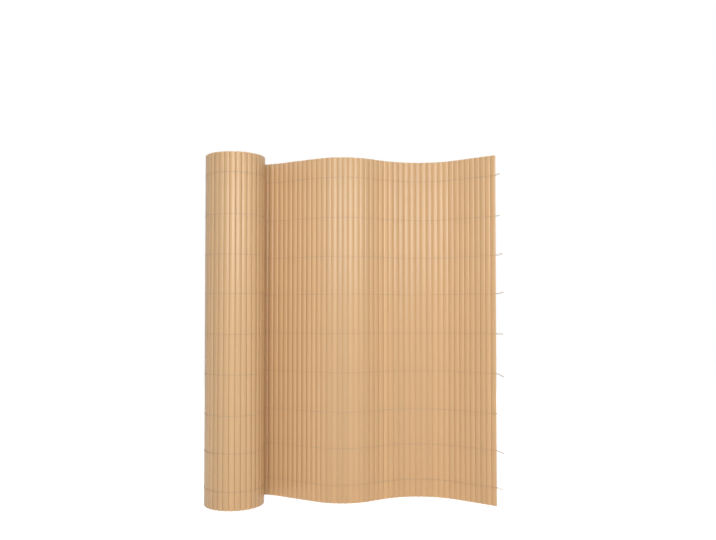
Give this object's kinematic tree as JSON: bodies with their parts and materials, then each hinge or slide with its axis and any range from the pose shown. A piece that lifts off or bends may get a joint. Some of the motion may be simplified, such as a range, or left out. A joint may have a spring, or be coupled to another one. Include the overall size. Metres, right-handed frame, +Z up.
{
  "type": "privacy screen mat",
  "caption": "Privacy screen mat of hollow PVC slats bound side by side with nylon threads, standing on its slat ends, partly rolled up with the open run in a wave.",
  "frame": {"origin": "middle of the footprint, on the surface that the slat ends stand on", "axes": "+X from the roll towards the free end, +Y to the rear, +Z up along the slats"},
  "size_m": [0.7746, 0.1708, 0.9],
  "materials": {
    "pvc_slat": "extruded PVC, satin, bamboo tan",
    "nylon_thread": "drawn nylon thread, pale grey"
  },
  "bodies": {
    "root": {"binding_thread_1": "nylon_thread", "binding_thread_2": "nylon_thread", "binding_thread_3": "nylon_thread", "binding_thread_4": "nylon_thread", "binding_thread_5": "nylon_thread", "binding_thread_6": "nylon_thread", "binding_thread_7": "nylon_thread", "binding_thread_8": "nylon_thread", "binding_thread_9": "nylon_thread", "rolled_slats": "pvc_slat", "slat_01": "pvc_slat", "slat_02": "pvc_slat", "slat_03": "pvc_slat", "slat_04": "pvc_slat", "slat_05": "pvc_slat", "slat_06": "pvc_slat", "slat_07": "pvc_slat", "slat_08": "pvc_slat", "slat_09": "pvc_slat", "slat_10": "pvc_slat", "slat_11": "pvc_slat", "slat_12": "pvc_slat", "slat_13": "pvc_slat", "slat_14": "pvc_slat", "slat_15": "pvc_slat", "slat_16": "pvc_slat", "slat_17": "pvc_slat", "slat_18": "pvc_slat", "slat_19": "pvc_slat", "slat_20": "pvc_slat", "slat_21": "pvc_slat", "slat_22": "pvc_slat", "slat_23": "pvc_slat", "slat_24": "pvc_slat", "slat_25": "pvc_slat", "slat_26": "pvc_slat", "slat_27": "pvc_slat", "slat_28": "pvc_slat", "slat_29": "pvc_slat", "slat_30": "pvc_slat", "slat_31": "pvc_slat", "slat_32": "pvc_slat", "slat_33": "pvc_slat", "slat_34": "pvc_slat", "slat_35": "pvc_slat", "slat_36": "pvc_slat", "slat_37": "pvc_slat", "slat_38": "pvc_slat", "slat_39": "pvc_slat", "slat_40": "pvc_slat", "slat_41": "pvc_slat", "slat_42": "pvc_slat", "slat_43": "pvc_slat", "slat_44": "pvc_slat", "slat_45": "pvc_slat", "slat_46": "pvc_slat"}
  },
  "joints": []
}
